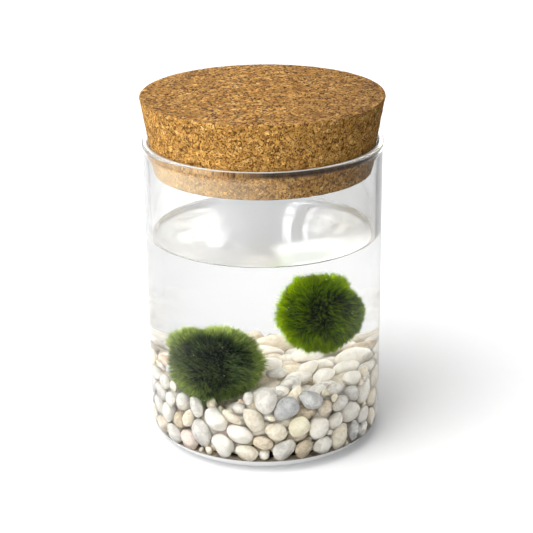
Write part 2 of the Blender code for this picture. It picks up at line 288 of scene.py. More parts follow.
def cork_material(name, tint, scale, specks=0.20):
    """Pressed granules: golden, with dark crevices here and there between them, pale flecks and small pits; painted
    light and shade come in through the pale and pit attributes.
    """
    m, nt, p = new_material(name)
    co = stretched(nt, (1, 1, 1))
    wob = texture(nt, "ShaderNodeTexNoise", 800.0, co, Detail=2.0)
    shift = blend(nt, "LINEAR_LIGHT", 0.0007, co, wob.outputs["Color"])

    def cell(size, pick, feature="F1"):
        t = texture(nt, "ShaderNodeTexVoronoi", size * scale, shift, Randomness=1.0, feature=feature)
        if feature != "F1":
            return None, t.outputs["Distance"]
        split = nt.nodes.new("ShaderNodeSeparateColor")
        nt.links.new(t.outputs["Color"], split.inputs[0])
        return split.outputs[pick], t.outputs["Distance"]

    tone, _ = cell(600.0, 0)
    small, far = cell(1250.0, 1)
    tiny, near = cell(1700.0, 2)
    _, edge = cell(600.0, 0, "DISTANCE_TO_EDGE")
    _, edge2 = cell(1250.0, 0, "DISTANCE_TO_EDGE")
    grain = texture(nt, "ShaderNodeTexNoise", 2000.0 * scale, co, Detail=4.0, Roughness=0.7)
    where = texture(nt, "ShaderNodeTexNoise", 520.0 * scale, co, Detail=2.0, Roughness=0.6)
    broad = texture(nt, "ShaderNodeTexNoise", 130.0, co, Detail=2.0)
    col = ramp(nt, [(0.00, (0.440, 0.225, 0.050)), (0.30, (0.520, 0.275, 0.062)), (0.70, (0.600, 0.330, 0.075)),
                    (1.00, (0.680, 0.410, 0.115))], tone)
    col = blend(nt, "MULTIPLY", 0.9, col, ramp(nt, [(0.0, (0.66, 0.60, 0.54)), (0.3, (0.96, 0.95, 0.94)), (0.8, (1.06, 1.06, 1.05)),
                                                    (1.0, (1.45, 1.55, 1.95))], small))
    col = blend(nt, "MULTIPLY", 0.9, col, ramp(nt, [(0.33, (0.70, 0.65, 0.60)), (0.50, (1, 1, 1)), (0.75, (1.16, 1.15, 1.13))], grain.outputs[0]))
    col = blend(nt, "MULTIPLY", 0.5, col, ramp(nt, [(0.35, (0.84, 0.81, 0.78)), (0.65, (1.10, 1.10, 1.10))], broad.outputs[0]))
    # the pit attribute holds the cork's pits and also painted shade under the rim
    pit = node(nt, "ShaderNodeAttribute", attribute_name="pit").outputs["Fac"]
    gap = maths(nt, "MULTIPLY", ramp(nt, [(0.02, (1, 1, 1)), (0.14, (0, 0, 0))], edge), ramp(nt, [(0.50, (0, 0, 0)), (0.58, (1, 1, 1))], where.outputs[0]))
    gap2 = maths(nt, "MULTIPLY", ramp(nt, [(0.02, (1, 1, 1)), (0.16, (0, 0, 0))], edge2), ramp(nt, [(0.42, (1, 1, 1)), (0.50, (0, 0, 0))], where.outputs[0]))
    gap = maths(nt, "MAXIMUM", gap, maths(nt, "MULTIPLY", gap2, 0.8))
    speck = ramp(nt, [(0.0, (1, 1, 1)), (specks, (1, 1, 1)), (specks + 0.04, (0, 0, 0))], tiny)
    round_off = ramp(nt, [(0.36, (1, 1, 1)), (0.50, (0, 0, 0))], near)
    dark = maths(nt, "MAXIMUM", maths(nt, "MAXIMUM", pit, gap), maths(nt, "MULTIPLY", speck, round_off))
    col = blend(nt, "MIX", maths(nt, "MULTIPLY", dark, 0.95), col, (0.055, 0.021, 0.006))
    col = blend(nt, "MULTIPLY", 1.0, col, tint)
    # painted light and shade: below 0.5 the pale attribute darkens, above it lightens and hazes toward pale gold
    pale = node(nt, "ShaderNodeAttribute", attribute_name="pale").outputs["Fac"]
    col = blend(nt, "MULTIPLY", 1.0, col, ramp(nt, [(0.0, (0.30, 0.28, 0.27)), (0.25, (0.74, 0.74, 0.76)), (0.5, (1, 1, 1))], pale))
    painted_haze = maths(nt, "MULTIPLY", maths(nt, "MAXIMUM", maths(nt, "SUBTRACT", pale, 0.5), 0.0), 1.1)
    col = blend(nt, "MIX", painted_haze, col, (1.0, 0.84, 0.60))
    nt.links.new(col, p.inputs["Base Color"])
    p.inputs["Roughness"].default_value = 0.85
    p.inputs["Specular IOR Level"].default_value = 0.12
    h = maths(nt, "MULTIPLY_ADD", dark, -1.3, maths(nt, "MULTIPLY_ADD", grain.outputs[0], 0.6, maths(nt, "MULTIPLY", far, -0.5)))
    bump(nt, p, h, 0.6, 0.00025)
    return m


def moss_material(name, root, mid, tip, cool, fly_root, fly_tip, painted_light_root, painted_light_tip, shine):
    """Threads: dark at the root, lighter to the tip, in patches of two greens and of painted shade; painted light on
    those near the outline; the long fine ones are the palest.
    """
    m, nt, p = new_material(name)
    along = node(nt, "ShaderNodeAttribute", attribute_name="along").outputs["Fac"]
    greens_and_shade = node(nt, "ShaderNodeAttribute", attribute_name="greens_and_shade").outputs["Fac"]
    each = node(nt, "ShaderNodeAttribute", attribute_name="each").outputs["Fac"]
    fly = node(nt, "ShaderNodeAttribute", attribute_name="fly").outputs["Fac"]
    warm = ramp(nt, [(0.0, root), (0.55, mid), (1.0, tip)], along)
    cold = ramp(nt, [(0.0, tuple(0.5 * c for c in cool)), (0.55, cool), (1.0, tuple(2.0 * c for c in cool))], along)
    # this mix picks the cool green in patches, and on the floating ball also paints shade with it
    col = blend(nt, "MIX", greens_and_shade, warm, cold)
    long = ramp(nt, [(0.35, mid), (0.70, fly_root), (1.0, fly_tip)], along)
    col = blend(nt, "MIX", fly, col, blend(nt, "MIX", maths(nt, "MULTIPLY", greens_and_shade, 0.35), long, cold))
    # painted light: threads near the outline are lightened toward a bright green
    painted_rim_light = node(nt, "ShaderNodeAttribute", attribute_name="painted_rim_light").outputs["Fac"]
    col = blend(nt, "MIX", painted_rim_light, col, ramp(nt, [(0.15, tuple(0.5 * c for c in painted_light_root)), (0.5, painted_light_root), (1.0, painted_light_tip)], along))
    vary = ramp(nt, [(0.0, (0.38, 0.41, 0.40)), (0.5, (0.92, 0.92, 0.92)), (1.0, (1.85, 1.72, 1.30))], each)
    col = blend(nt, "MULTIPLY", 1.0, col, vary)
    nt.links.new(col, p.inputs["Base Color"])
    p.inputs["Roughness"].default_value = 0.6
    p.inputs["Specular IOR Level"].default_value = shine
    return m


# painted glint: the bubbles are an opaque pale green that stands for the light they catch
def bubble_material():
    m, nt, p = new_material("gas_bubble_painted_glint")
    n = texture(nt, "ShaderNodeTexNoise", 900.0, stretched(nt, (1, 1, 1)), Detail=1.0)
    nt.links.new(ramp(nt, [(0.3, (0.74, 0.86, 0.52)), (0.7, (0.90, 0.98, 0.70))], n.outputs[0]), p.inputs["Base Color"])
    p.inputs["Roughness"].default_value = 0.05
    return m


# ---- the poured heap, the same as the solids' -------------------------------
def turn(v):
    t = np.sqrt((v * v).sum(1))
    k = v / np.maximum(t, 1e-12)[:, None]
    K = np.zeros((len(v), 3, 3))
    K[:, 0, 1], K[:, 0, 2], K[:, 1, 2] = -k[:, 2], k[:, 1], -k[:, 0]
    K -= K.transpose(0, 2, 1)
    return np.eye(3) + np.sin(t)[:, None, None] * K + (1 - np.cos(t))[:, None, None] * (K @ K)


def touch(x, S, i, j, n, rounds):
    d = x[j] - x[i]
    for k in range(rounds + 1):
        u = (S[i] @ n[:, :, None])[:, :, 0]
        p = u / np.sqrt((u * n).sum(1))[:, None]
        w = (S[j] @ n[:, :, None])[:, :, 0]
        q = w / np.sqrt((w * n).sum(1))[:, None]
        g = d - p - q
        s = (g * n).sum(1)
        if k == rounds:
            return n, s, p, q
        n = n + (g - s[:, None] * n) / np.maximum((n * d).sum(1), 1.0)[:, None]
        n = n / np.sqrt((n * n).sum(1))[:, None]


def neighbours(X, big, reach):
    D = X[:, None] - X[None]
    near = np.sqrt((D ** 2).sum(-1)) < big[:, None] + big[None] + reach
    i, j = np.nonzero(np.triu(near, 1))
    D = X[j] - X[i]
    return i, j, D / np.sqrt((D * D).sum(1))[:, None]


def pour(count, seed):
    rng = np.random.default_rng(seed)
    a = rng.normal(PEBBLE_LONG, 0.62, count).clip(2.8, 5.6)
    ax = np.stack([a, a * rng.uniform(0.70, 0.92, count), a * rng.uniform(0.50, 0.74, count)], 1)
    layer, k = np.arange(count) // 60, np.arange(count) % 60
    rad, ang = (BED_WALL - 5.5) * np.sqrt((k + 0.5) / 60), k * 2.399963 + layer * 1.3
    x = np.stack([rad * np.cos(ang), rad * np.sin(ang), BED_FLOOR + 4 + layer * 6.0], 1)
    x = x + rng.uniform(-0.8, 0.8, (count, 3))
    R = turn(rng.normal(size=(count, 3)) * [0.35, 0.35, 2.5])
    X = np.round(np.vstack([x, REST_AT]), 4)
    R = np.round(np.concatenate([R, np.eye(3)[None]]), 7)
    ax2 = np.vstack([ax ** 2, np.square(REST_R)])
    inv = np.append(np.ones(count), 0.0)
    rr = np.append(0.4 * ax.mean(1) ** 2, 1e9)
    big = np.sqrt(ax2.max(1))
    m = count + 1
    lean = [(0, 0), (-0.22, 0), (0.22, 0), (-0.11, 0), (0.11, 0),
            (0, math.radians(35)), (0, math.radians(62)), (0, math.pi / 2)]
    for drop, rounds, steps in POUR:
        for step in range(steps):
            X[:count, 2] -= drop
            if step % 6 == 0:
                I0, J0, N0 = neighbours(X, big, 0.6)
            for _ in range(rounds):
                S = (R * ax2[:, None, :]) @ R.transpose(0, 2, 1)
                N0, s, p, q = touch(X, S, I0, J0, N0, 3)
                hit = s < 0
                I, J, N, s = I0[hit], J0[hit], N0[hit], s[hit]
                at = 0.5 * (X[I] + p[hit] + X[J] - q[hit])
                ci, cj = np.cross(at - X[I], N), np.cross(at - X[J], N)
                lam = -s / (inv[I] * (1 + (ci ** 2).sum(1) / rr[I]) + inv[J] * (1 + (cj ** 2).sum(1) / rr[J]))
                dx, dt = np.zeros((m, 3)), np.zeros((m, 3))
                cnt = np.bincount(I, minlength=m) + np.bincount(J, minlength=m)
                for c in range(3):
                    dx[:, c] = np.bincount(J, lam * N[:, c], m) - np.bincount(I, lam * N[:, c], m)
                    dt[:, c] = np.bincount(J, lam * cj[:, c], m) - np.bincount(I, lam * ci[:, c], m)
                phi = np.arctan2(X[:, 1], X[:, 0])
                for da, be in lean:
                    cb, sb = math.cos(be), math.sin(be)
                    N = np.stack([np.cos(phi + da) * cb, np.sin(phi + da) * cb, np.full(m, -sb)], 1)
                    if be == 0:
                        off = BED_WALL
                    elif be > 1.5:
                        off = -BED_FLOOR
                    else:
                        off = (BED_WALL - BED_CORNER) * cb - (BED_FLOOR + BED_CORNER) * sb + BED_CORNER
                    u = (S @ N[:, :, None])[:, :, 0]
                    h = np.sqrt((u * N).sum(1))
                    s = off - (X * N).sum(1) - h
                    cc = np.cross(u / h[:, None], N)
                    lam = np.where((s < 0) & (inv > 0), -s / (1 + (cc ** 2).sum(1) / rr), 0)
                    dx -= lam[:, None] * N
                    dt -= lam[:, None] * cc
                    cnt = cnt + (lam > 0)
                f = (inv / np.maximum(1, cnt * 0.3))[:, None]
                X = np.round(X + dx * f, 4)
                t = dt * f / rr[:, None]
                t *= np.minimum(1, 0.15 / np.maximum(np.sqrt((t * t).sum(1)), 1e-9))[:, None]
                R = np.round(turn(t) @ R, 7)
    for _ in range(4):
        ax2 = np.vstack([ax ** 2, np.square(REST_R)])
        S = (R * ax2[:, None, :]) @ R.transpose(0, 2, 1)
        I, J, N = neighbours(X, np.sqrt(ax2.max(1)), 0.1)
        N, s, p, q = touch(X, S, I, J, N, 12)
        need = np.zeros(m)
        over = np.maximum(0, -s)
        np.maximum.at(need, I, over * np.where(J == count, 1.0, 0.5))
        np.maximum.at(need, J, over * 0.5)
        ax = np.round(ax - np.minimum(need[:-1], 0.8)[:, None] * 1.02, 5)
    x, R = X[:count], R[:count]
    top = x[:, 2] + np.sqrt(((R[:, 2, :] * ax) ** 2).sum(1))
    # no pebbles heaped up in front of the resting ball
    dip = (np.abs(x[:, 0] + 12) < 10) & (x[:, 1] < -28) & (top > 24)
    keep = (top < BED_LIMIT) & (x[:, 2] < REST_AT[2]) & ~dip
    return x[keep], R[keep], ax[keep], top[keep]


def pebble_shape(d, ax, R, seed):
    rng = np.random.default_rng(seed)
    f = np.ones(len(d))
    for k in range(4):
        way = rng.normal(size=3)
        way /= math.sqrt((way ** 2).sum())
        f -= 0.035 * (0.5 + 0.5 * np.sin(rng.uniform(1.2, 3.2) * (d @ way) * 1.6 + rng.uniform(0, 6.3)))
    return (d * f[:, None] * ax) @ R.T


def stone_shape(d, ax, R, seed):
    """The solid's pebble with softly worn flats, as wide as before."""
    rng = np.random.default_rng(seed + 50000)
    f = np.ones(len(d))
    for k in range(8):
        way = rng.normal(size=3)
        way /= math.sqrt((way ** 2).sum())
        f = f + np.maximum(0, (d @ way) / rng.uniform(0.80, 1.0)) ** 13
    f = f ** (-1 / 13)
    f = f * (1.05 + 0.02 * noise3(d * 2.6 + seed % 97, 3) + 0.006 * noise3(d * 8 + seed % 31, 4))
    return pebble_shape(d, ax, R, seed) * f[:, None]


# ---- camera -----------------------------------------------------------------
pitch, roll, yaw = math.radians(20.84), -0.0099, 2.5 / 1554.1
eye = Vector((0, -499.6, 248.8)) * MM
forward = Vector((0, math.cos(pitch), -math.sin(pitch)))
right = Vector((1, 0, 0))
up = right.cross(forward)
right = right * math.cos(roll) + up * math.sin(roll)
up = right.cross(forward)
forward = (forward + right * yaw).normalized()
right = forward.cross(up).normalized()
cam = bpy.data.objects.new("camera", bpy.data.cameras.new("camera"))
cam.data.sensor_width = 36.0
cam.data.lens = 18.0 / (266.5 / 1554.1)
cam.data.clip_start, cam.data.clip_end = 0.01, 50.0
cam.matrix_world = Matrix(((right.x, up.x, -forward.x, eye.x), (right.y, up.y, -forward.y, eye.y),
                           (right.z, up.z, -forward.z, eye.z), (0, 0, 0, 1)))
scene.collection.objects.link(cam)
scene.camera = cam

# ---- jar --------------------------------------------------------------------
SEGS = 256
RISE = 0.1              # where the water ends on the glass, over its mean height


def along_wall(r, z0, z1, step=6.0):
    n = max(1, int(round(abs(z1 - z0) / step)))
    return [(r, z0 + (z1 - z0) * k / n) for k in range(1, n)]


def face_index(profile, quads, tris, inside):
    """1 on the faces whose profile points are all inside."""
    wet = np.array([inside(r, z) for r, z in profile[1:-1]])
    ring = quads // SEGS
    q = wet[ring].all(1)
    t = np.array([inside(*profile[0])] * SEGS + [inside(*profile[-1])] * SEGS)
    return np.concatenate([q, t]).astype(int)


profile = [(0, 0.35), (29.8, 0.35), (30.8, 0.12), (31.6, 0.02)]
profile += arc(JAR_R - HEEL_OUT, HEEL_OUT, HEEL_OUT, -84, 0, 21)
profile += [(JAR_R, HEEL_OUT + 0.3)] + along_wall(JAR_R, HEEL_OUT + 0.3, JAR_H - 3.4) + [(JAR_R, JAR_H - 3.4)]
# the rim is melted to a slight bead
profile += [(JAR_R + a, JAR_H - b) for a, b in ((0.03, 2.9), (0.11, 2.4), (0.22, 1.9), (0.30, 1.5), (0.33, 1.15), (0.29, 0.8), (0.14, 0.45),
                                                (-0.15, 0.18), (-0.5, 0.04), (-0.9, 0.0), (-1.3, 0.05), (-1.65, 0.22), (-1.9, 0.5))]
profile += [(BORE_R, JAR_H - 0.9), (BORE_R, JAR_H - 1.2)]
profile += along_wall(BORE_R, JAR_H - 1.2, WATER_Z + RISE) + [(BORE_R, WATER_Z + RISE)]
profile += along_wall(BORE_R, WATER_Z + RISE, JAR_FLOOR + HEEL_IN + 0.3) + [(BORE_R, JAR_FLOOR + HEEL_IN + 0.3)]
profile += arc(BORE_R - HEEL_IN, JAR_FLOOR + HEEL_IN, HEEL_IN, 0, -90, 10)
profile += [(34.0, JAR_FLOOR), (20.0, JAR_FLOOR + 0.1), (0, JAR_FLOOR + 0.15)]
v, q, t = lathe_arrays(profile, SEGS)
wetted = face_index(profile, q, t, lambda r, z: (r < JAR_R - 1.9 and 2.0 < z < WATER_Z + RISE + 0.01))
lower = face_index(profile, q, t, lambda r, z: (r > JAR_R - 1.9 and z < WATER_Z + 4.1))
rim = face_index(profile, q, t, lambda r, z: z > JAR_H - 0.30)
heel = face_index(profile, q, t, lambda r, z: r > 32.0 and z < 4.2 and (r - JAR_R + HEEL_OUT) ** 2 + (z - HEEL_OUT) ** 2 > 42)
index = np.where(heel > 0, 4, np.where(rim > 0, 3, wetted + 2 * lower))
jar = mesh_object("jar_glass", v, quads=q, tris=t, index=index, mats=[
    clear_material("clear_glass", (0.972, 0.974, 0.971), 1.5, 0.8, 60.0, 0.04),
    clear_material("clear_glass_wetted", (0.972, 0.974, 0.971), 1.5, 0.0, 60.0, 0.04),
    clear_material("clear_glass_lower", (0.972, 0.974, 0.971), 1.5, 0.12, 60.0, 0.04),
    # painted highlight on the rim's crest and painted light in the heel: pale, partly diffuse glass stands for the
    # light they catch and pipe
    clear_material("glass_rim_painted_highlight", (0.94, 0.96, 0.95), 1.5, 1.0, 60.0, 0.0, clear=0.50, rough=0.10),
    clear_material("glass_heel_painted_light", (0.86, 0.87, 0.87), 1.5, 0.7, 60.0, 0.0, clear=0.12, rough=0.08)])
sharpen(jar, 25)

# ---- water, a hair into the glass so that no air is left between ------------
OVER = 0.04
rw = BORE_R + OVER
profile = [(0, JAR_FLOOR + 0.15 - OVER), (20.0, JAR_FLOOR + 0.1 - OVER), (34.0, JAR_FLOOR - OVER)]
profile += arc(BORE_R - HEEL_IN, JAR_FLOOR + HEEL_IN, HEEL_IN + OVER, -90, 0, 10)
profile += along_wall(rw, JAR_FLOOR + HEEL_IN, WATER_Z + RISE)
profile += [(rw, WATER_Z + RISE)]
wall_rings = len(profile)
for g in (0.0, 0.08, 0.18, 0.3, 0.45, 0.62, 0.82, 1.05, 1.35, 1.7, 2.2, 2.8, 3.6, 4.5, 5.5, 6.5, 7.5, 8.5, 9.5, 11.0, 12.5, 14.0, 15.5,
          17.0, 18.5, 20.0, 22.0, 24.0, 26.0, 28.0, 30.0, 32.0, 34.0, 36.0):
    profile.append((BORE_R - g, WATER_Z - 1.6 + 0.8 * (1 - g / BORE_R) ** 3 + (0.8 + RISE) * math.exp(-g / 1.4)))
profile += [(0, WATER_Z - 1.6)]
v, q, t = lathe_arrays(profile, SEGS)
top_face = np.arange(len(profile) - 2) >= wall_rings - 1
climb = top_face & (np.array(profile)[1:-1, 0] > BORE_R - 1.4)
wetted = np.concatenate([~top_face[q // SEGS].all(1), np.arange(2 * SEGS) < SEGS]).astype(int)
wetted[:len(q)][climb[q // SEGS].all(1)] = 2
water = mesh_object("water_body", v, quads=q, tris=t, index=wetted, mats=[
    # painted sheen on the surface and painted light on the meniscus: part of each is a pale diffuse colour
    clear_material("water_surface_painted_sheen", (0.75, 0.80, 0.86), 1.333, 0.35, 90.0, 0.0, clear=0.78, rough=0.42, coat=1.0),
    clear_material("still_water_body", (0.932, 0.934, 0.934), 1.333, 0.0, 90.0, 0.0),
    clear_material("water_edge_painted_light", (0.95, 0.955, 0.955), 1.333, 1.0, 90.0, 0.0, clear=0.60, rough=0.20)])
sharpen(water, 25)

# ---- pebbles ----------------------------------------------------------------
stones = [
    stone("stone_white", (0.91, 0.885, 0.825), (0.82, 0.775, 0.695), (0.66, 0.60, 0.51)),
    stone("stone_cream", (0.91, 0.85, 0.72), (0.76, 0.67, 0.52), (0.58, 0.49, 0.37)),
    stone("stone_beige", (0.82, 0.74, 0.61), (0.64, 0.54, 0.41), (0.48, 0.39, 0.29), veins=0.35),
    stone("stone_pale_grey", (0.80, 0.775, 0.725), (0.63, 0.60, 0.55), (0.48, 0.45, 0.41), veins=0.35),
    stone("stone_grey", (0.56, 0.56, 0.54), (0.44, 0.44, 0.43), (0.30, 0.30, 0.30), veins=0.5),
    stone("stone_blue_grey", (0.66, 0.655, 0.645), (0.48, 0.482, 0.48), (0.28, 0.29, 0.30), veins=0.6),
    stone("stone_tan", (0.70, 0.60, 0.45), (0.52, 0.44, 0.32), (0.36, 0.29, 0.20), veins=0.8),
    stone("stone_yellow", (0.90, 0.85, 0.66), (0.82, 0.75, 0.55), (0.66, 0.56, 0.38)),
    stone("stone_pink", (0.76, 0.66, 0.60), (0.64, 0.54, 0.49), (0.45, 0.34, 0.30), veins=0.6),
    stone("stone_rust", (0.82, 0.70, 0.58), (0.74, 0.53, 0.39), (0.55, 0.34, 0.22), veins=0.5),
]
px, pR, pax, ptop = pour(PEBBLES, 5)
rng = np.random.default_rng(77)
kind = rng.choice(10, len(px), p=[0.33, 0.23, 0.13, 0.17, 0.02, 0.01, 0.03, 0.05, 0.03, 0.0])
# the back of the heap is whiter, its left side greyer
draw = rng.uniform(size=len(px))
back = (px[:, 1] > 4) & (px[:, 2] > 14)
kind = np.where(back & (px[:, 0] > -14) & (kind >= 2) & (draw < 0.8), (draw > 0.55).astype(int), kind)
kind = np.where((px[:, 0] < -22) & (px[:, 1] < 8) & (kind <= 1) & (draw < 0.75), np.where(draw < 0.5, 3, 2), kind)
for k, those in {0: (222, 111, 375, 394, 178, 377, 418, 373, 320), 1: (235, 339, 385), 2: (342,), 3: (282, 403, 368, 386),
                 5: (398, 410), 6: (176, 214), 7: (354, 36), 8: (54,), 9: (324,)}.items():
    kind[list(those)] = k
order = np.argsort(-np.round(px[:, 2], 3), kind="stable")
loose, rest = order[:LOOSE], order[LOOSE:]
balls = {2: sphere(2), 3: sphere(3), 4: sphere(4)}
for k, i in enumerate(loose):
    d, f = balls[4]
    ob = mesh_object("pebble_%02d_stone" % (k + 1), stone_shape(d, pax[i], pR[i], 1000 + int(i)) + px[i], tris=f,
                     mats=[stones[kind[i]]])
    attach(ob, "root")
    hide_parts("pebble_%02d" % (k + 1))
vs, fs, ks, at = [], [], [], 0
for i in rest:
    r = math.hypot(px[i, 0], px[i, 1]) + pax[i, 0]
    hidden = r < 31.0 and ptop[i] < 19.0
    fine = 2 if hidden else (4 if px[i, 1] < -22 and not hidden and r > 34 else 3)
    d, f = balls[fine]
    vs.append(stone_shape(d, pax[i], pR[i], 1000 + int(i)) + px[i])
    fs.append(f + at)
    ks.append(np.full(len(f), kind[i]))
    at += len(d)
# gravel in the gaps, each grain as large as its gap allows
rng = np.random.default_rng(404)
n = 26000
rr, aa = np.sqrt(rng.uniform(0.50, 1, n)) * 35.6, rng.uniform(0, 2 * np.pi, n)
pts = np.stack([rr * np.cos(aa), rr * np.sin(aa), rng.uniform(3.6, 27.0, n)], 1)
room_left = np.minimum(37.2 - rr, pts[:, 2] - 2.8)
for i in range(len(px)):
    near = (np.abs(pts - px[i]) < pax[i, 0] + 3.0).all(1)
    w = (pts[near] - px[i]) @ pR[i]
    k0 = np.sqrt(((w / pax[i]) ** 2).sum(1))
    k1 = np.sqrt(((w / pax[i] ** 2) ** 2).sum(1))
    room_left[near] = np.minimum(room_left[near], k0 * (k0 - 1) / np.maximum(k1, 1e-6))
cover = np.array([((np.hypot(px[:, 0] - p[0], px[:, 1] - p[1]) < 6.0) & (ptop > p[2] + 2.5)).any() for p in pts])
room_left[~cover] = 0
d, f = balls[3]
coarse = []
for _ in range(230):
    i = int(np.argmax(room_left))
    g = min(room_left[i], 2.4)
    if g < 0.95:
        break
    R = turn(rng.normal(size=(1, 3)) * 1.5)[0]
    size = g * np.array([rng.uniform(1.15, 1.4), rng.uniform(1.0, 1.15), rng.uniform(0.8, 0.95)])
    coarse.append((pts[i], g))
    vs.append(stone_shape(d, size, R, 7000 + _) + pts[i])
    fs.append(f + at)
    ks.append(np.full(len(f), rng.choice(10, p=[0.28, 0.22, 0.16, 0.16, 0.03, 0.01, 0.05, 0.06, 0.02, 0.01])))
    at += len(d)
    room_left = np.minimum(room_left, np.sqrt(((pts - pts[i]) ** 2).sum(1)) - g * 1.1)
print("gravel", _, g)
# fine sand in the corner of the glass
segs = 360
aa = 2 * np.pi * np.arange(segs) / segs
round_it = np.stack([np.cos(aa), np.sin(aa), np.zeros(segs)], 1)
crest = 47 + 6 * noise3(round_it * 14, 70) + 5 * noise3(round_it * 40, 71)
ring = []
for k in range(9):
    turn_by = np.radians(-92 + crest * k / 8)
    ring.append(np.stack([BORE_R - HEEL_IN + 3.26 * np.cos(turn_by), JAR_FLOOR + HEEL_IN + 3.26 * np.sin(turn_by)], 1))
for k in range(1, 8):
    f = k / 8
    low_in = np.array([30.0, JAR_FLOOR + 0.25])
    line = ring[8] * (1 - f) + low_in * f
    line[:, 1] += (0.35 * noise3(round_it * 60 + k, 72) - 0.5 * math.sin(math.pi * f)) * (line[:, 1] - low_in[1]) * 0.6
    ring.append(line)
ring.append(np.repeat([[30.0, JAR_FLOOR + 0.17]], segs, 0))
ring = np.array(ring)
rr, zz = ring[..., 0], np.maximum(ring[..., 1], JAR_FLOOR + 0.17)
vs.append(np.stack([rr * np.cos(aa), rr * np.sin(aa), zz], -1).reshape(-1, 3))
k, n = np.arange(segs), len(ring)
k2 = (k + 1) % segs
g = (np.arange(n) * segs)[:, None]
g2 = (((np.arange(n) + 1) % n) * segs)[:, None]
fs.append(np.concatenate([np.stack([g + k, g + k2, g2 + k2], -1).reshape(-1, 3), np.stack([g + k, g2 + k2, g2 + k], -1).reshape(-1, 3)]) + at)
ks.append(np.full(len(fs[-1]), 6))
bed = mesh_object("pebble_bed_stones", np.vstack(vs), tris=np.vstack(fs), mats=stones, index=np.concatenate(ks))
print("bed triangles", len(bed.data.polygons))

# ---- moss -------------------------------------------------------------------
RIGHT, UP = np.array([1.0, 0, 0]), np.array([0, math.sin(pitch), math.cos(pitch)])
TOWARD = np.array([0, -math.cos(pitch), math.sin(pitch)])


def outline(u, radii, lobes):
    """Distance from the middle to the tips for directions u."""
    base = 1 / np.sqrt(((u / np.array(radii)) ** 2).sum(1))
    a, b = u @ RIGHT, u @ UP
    flat = np.sqrt(a * a + b * b)
    ang = np.degrees(np.arctan2(b, a))
    f = np.ones(len(u))
    for where, width, amount in lobes:
        d = (ang - where + 180) % 360 - 180
        f = f + amount * np.exp(-(d / width) ** 2) * flat ** 4
    return base * f


REST_LOBES = [(149, 15, 0.12), (125, 9, -0.02), (97, 11, -0.19), (78, 10, -0.05), (45, 16, 0.01), (-70, 14, -0.06), (-102, 14, 0.10),
              (-132, 12, 0.05), (-151, 11, 0.12), (-172, 10, 0.02), (5, 14, 0.06),
              (-107, 8, 0.12), (-122, 13, 0.09)]
FLOAT_LOBES = [(140, 14, 0.06), (118, 10, 0.11), (100, 10, 0.02), (38, 20, -0.185), (53, 9, -0.07), (-46, 15, -0.04), (-25, 16, 0.04), (-97, 10, -0.08),
               (-120, 9, -0.05), (-155, 18, -0.075), (2, 15, 0.03)]


def unit(v):
    return v / np.maximum(np.sqrt((v ** 2).sum(1)), 1e-9)[:, None]


def painted_rim_light_amount(u, spots, start):
    """Painted light on the threads near the outline, where they would be seen from the side and catch the light, by
    bearing.
    """
    a, b = u @ RIGHT, u @ UP
    flat = np.sqrt(a * a + b * b)
    ang = np.degrees(np.arctan2(b, a))
    amount = np.zeros(len(u))
    for where, width, level, *own in spots:
        begin = own[0] if own else start
        d = (ang - where + 180) % 360 - 180
        edge = np.clip((flat - begin) / (1 - begin), 0, 1)
        amount = np.maximum(amount, level * np.exp(-(d / width) ** 2) * edge * (3 - 2 * edge) * edge)
    return np.clip(amount * 1.3 * (1 + 0.5 * noise3(u * 5 + 3, 21)), 0, 1)


